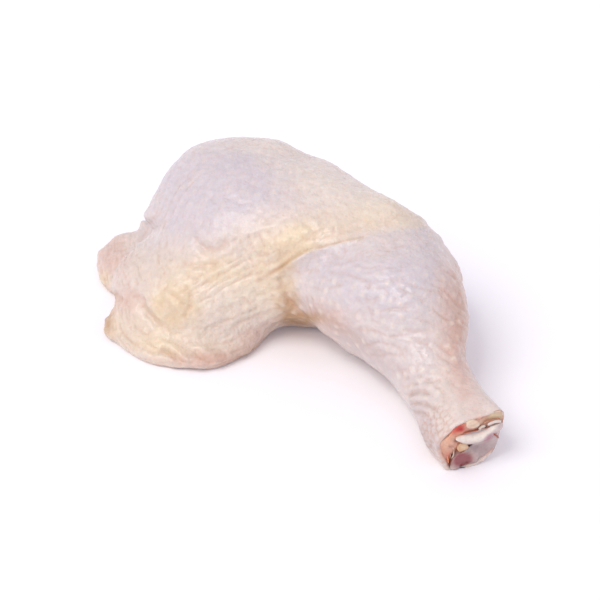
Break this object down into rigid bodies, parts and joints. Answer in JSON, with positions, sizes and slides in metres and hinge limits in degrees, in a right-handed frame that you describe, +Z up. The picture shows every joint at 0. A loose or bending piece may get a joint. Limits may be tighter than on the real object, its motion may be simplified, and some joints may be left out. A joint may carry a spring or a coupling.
{
  "type": "raw chicken leg",
  "caption": "Whole raw chicken leg with the skin on: rounded thigh with a loose skin flap, bent drumstick, and an open cut at the hock showing joint and tendons.",
  "frame": {"origin": "bottom centre of the box round the whole leg, on the plane it lies on", "axes": "+Z up out of the skin side, -Y towards the cut hock end of the drumstick, -X towards the thigh's loose skin flap"},
  "size_m": [0.1448, 0.1532, 0.0562],
  "materials": {
    "raw_skin": "moist, satin, finely pimpled",
    "joint_cartilage": "wet and smooth",
    "tendon": "wet and smooth"
  },
  "bodies": {
    "root": {"leg": "raw_skin", "shin_bone": "joint_cartilage", "front_tendon": "tendon", "back_tendon": "tendon", "side_tendon": "tendon"}
  },
  "joints": []
}
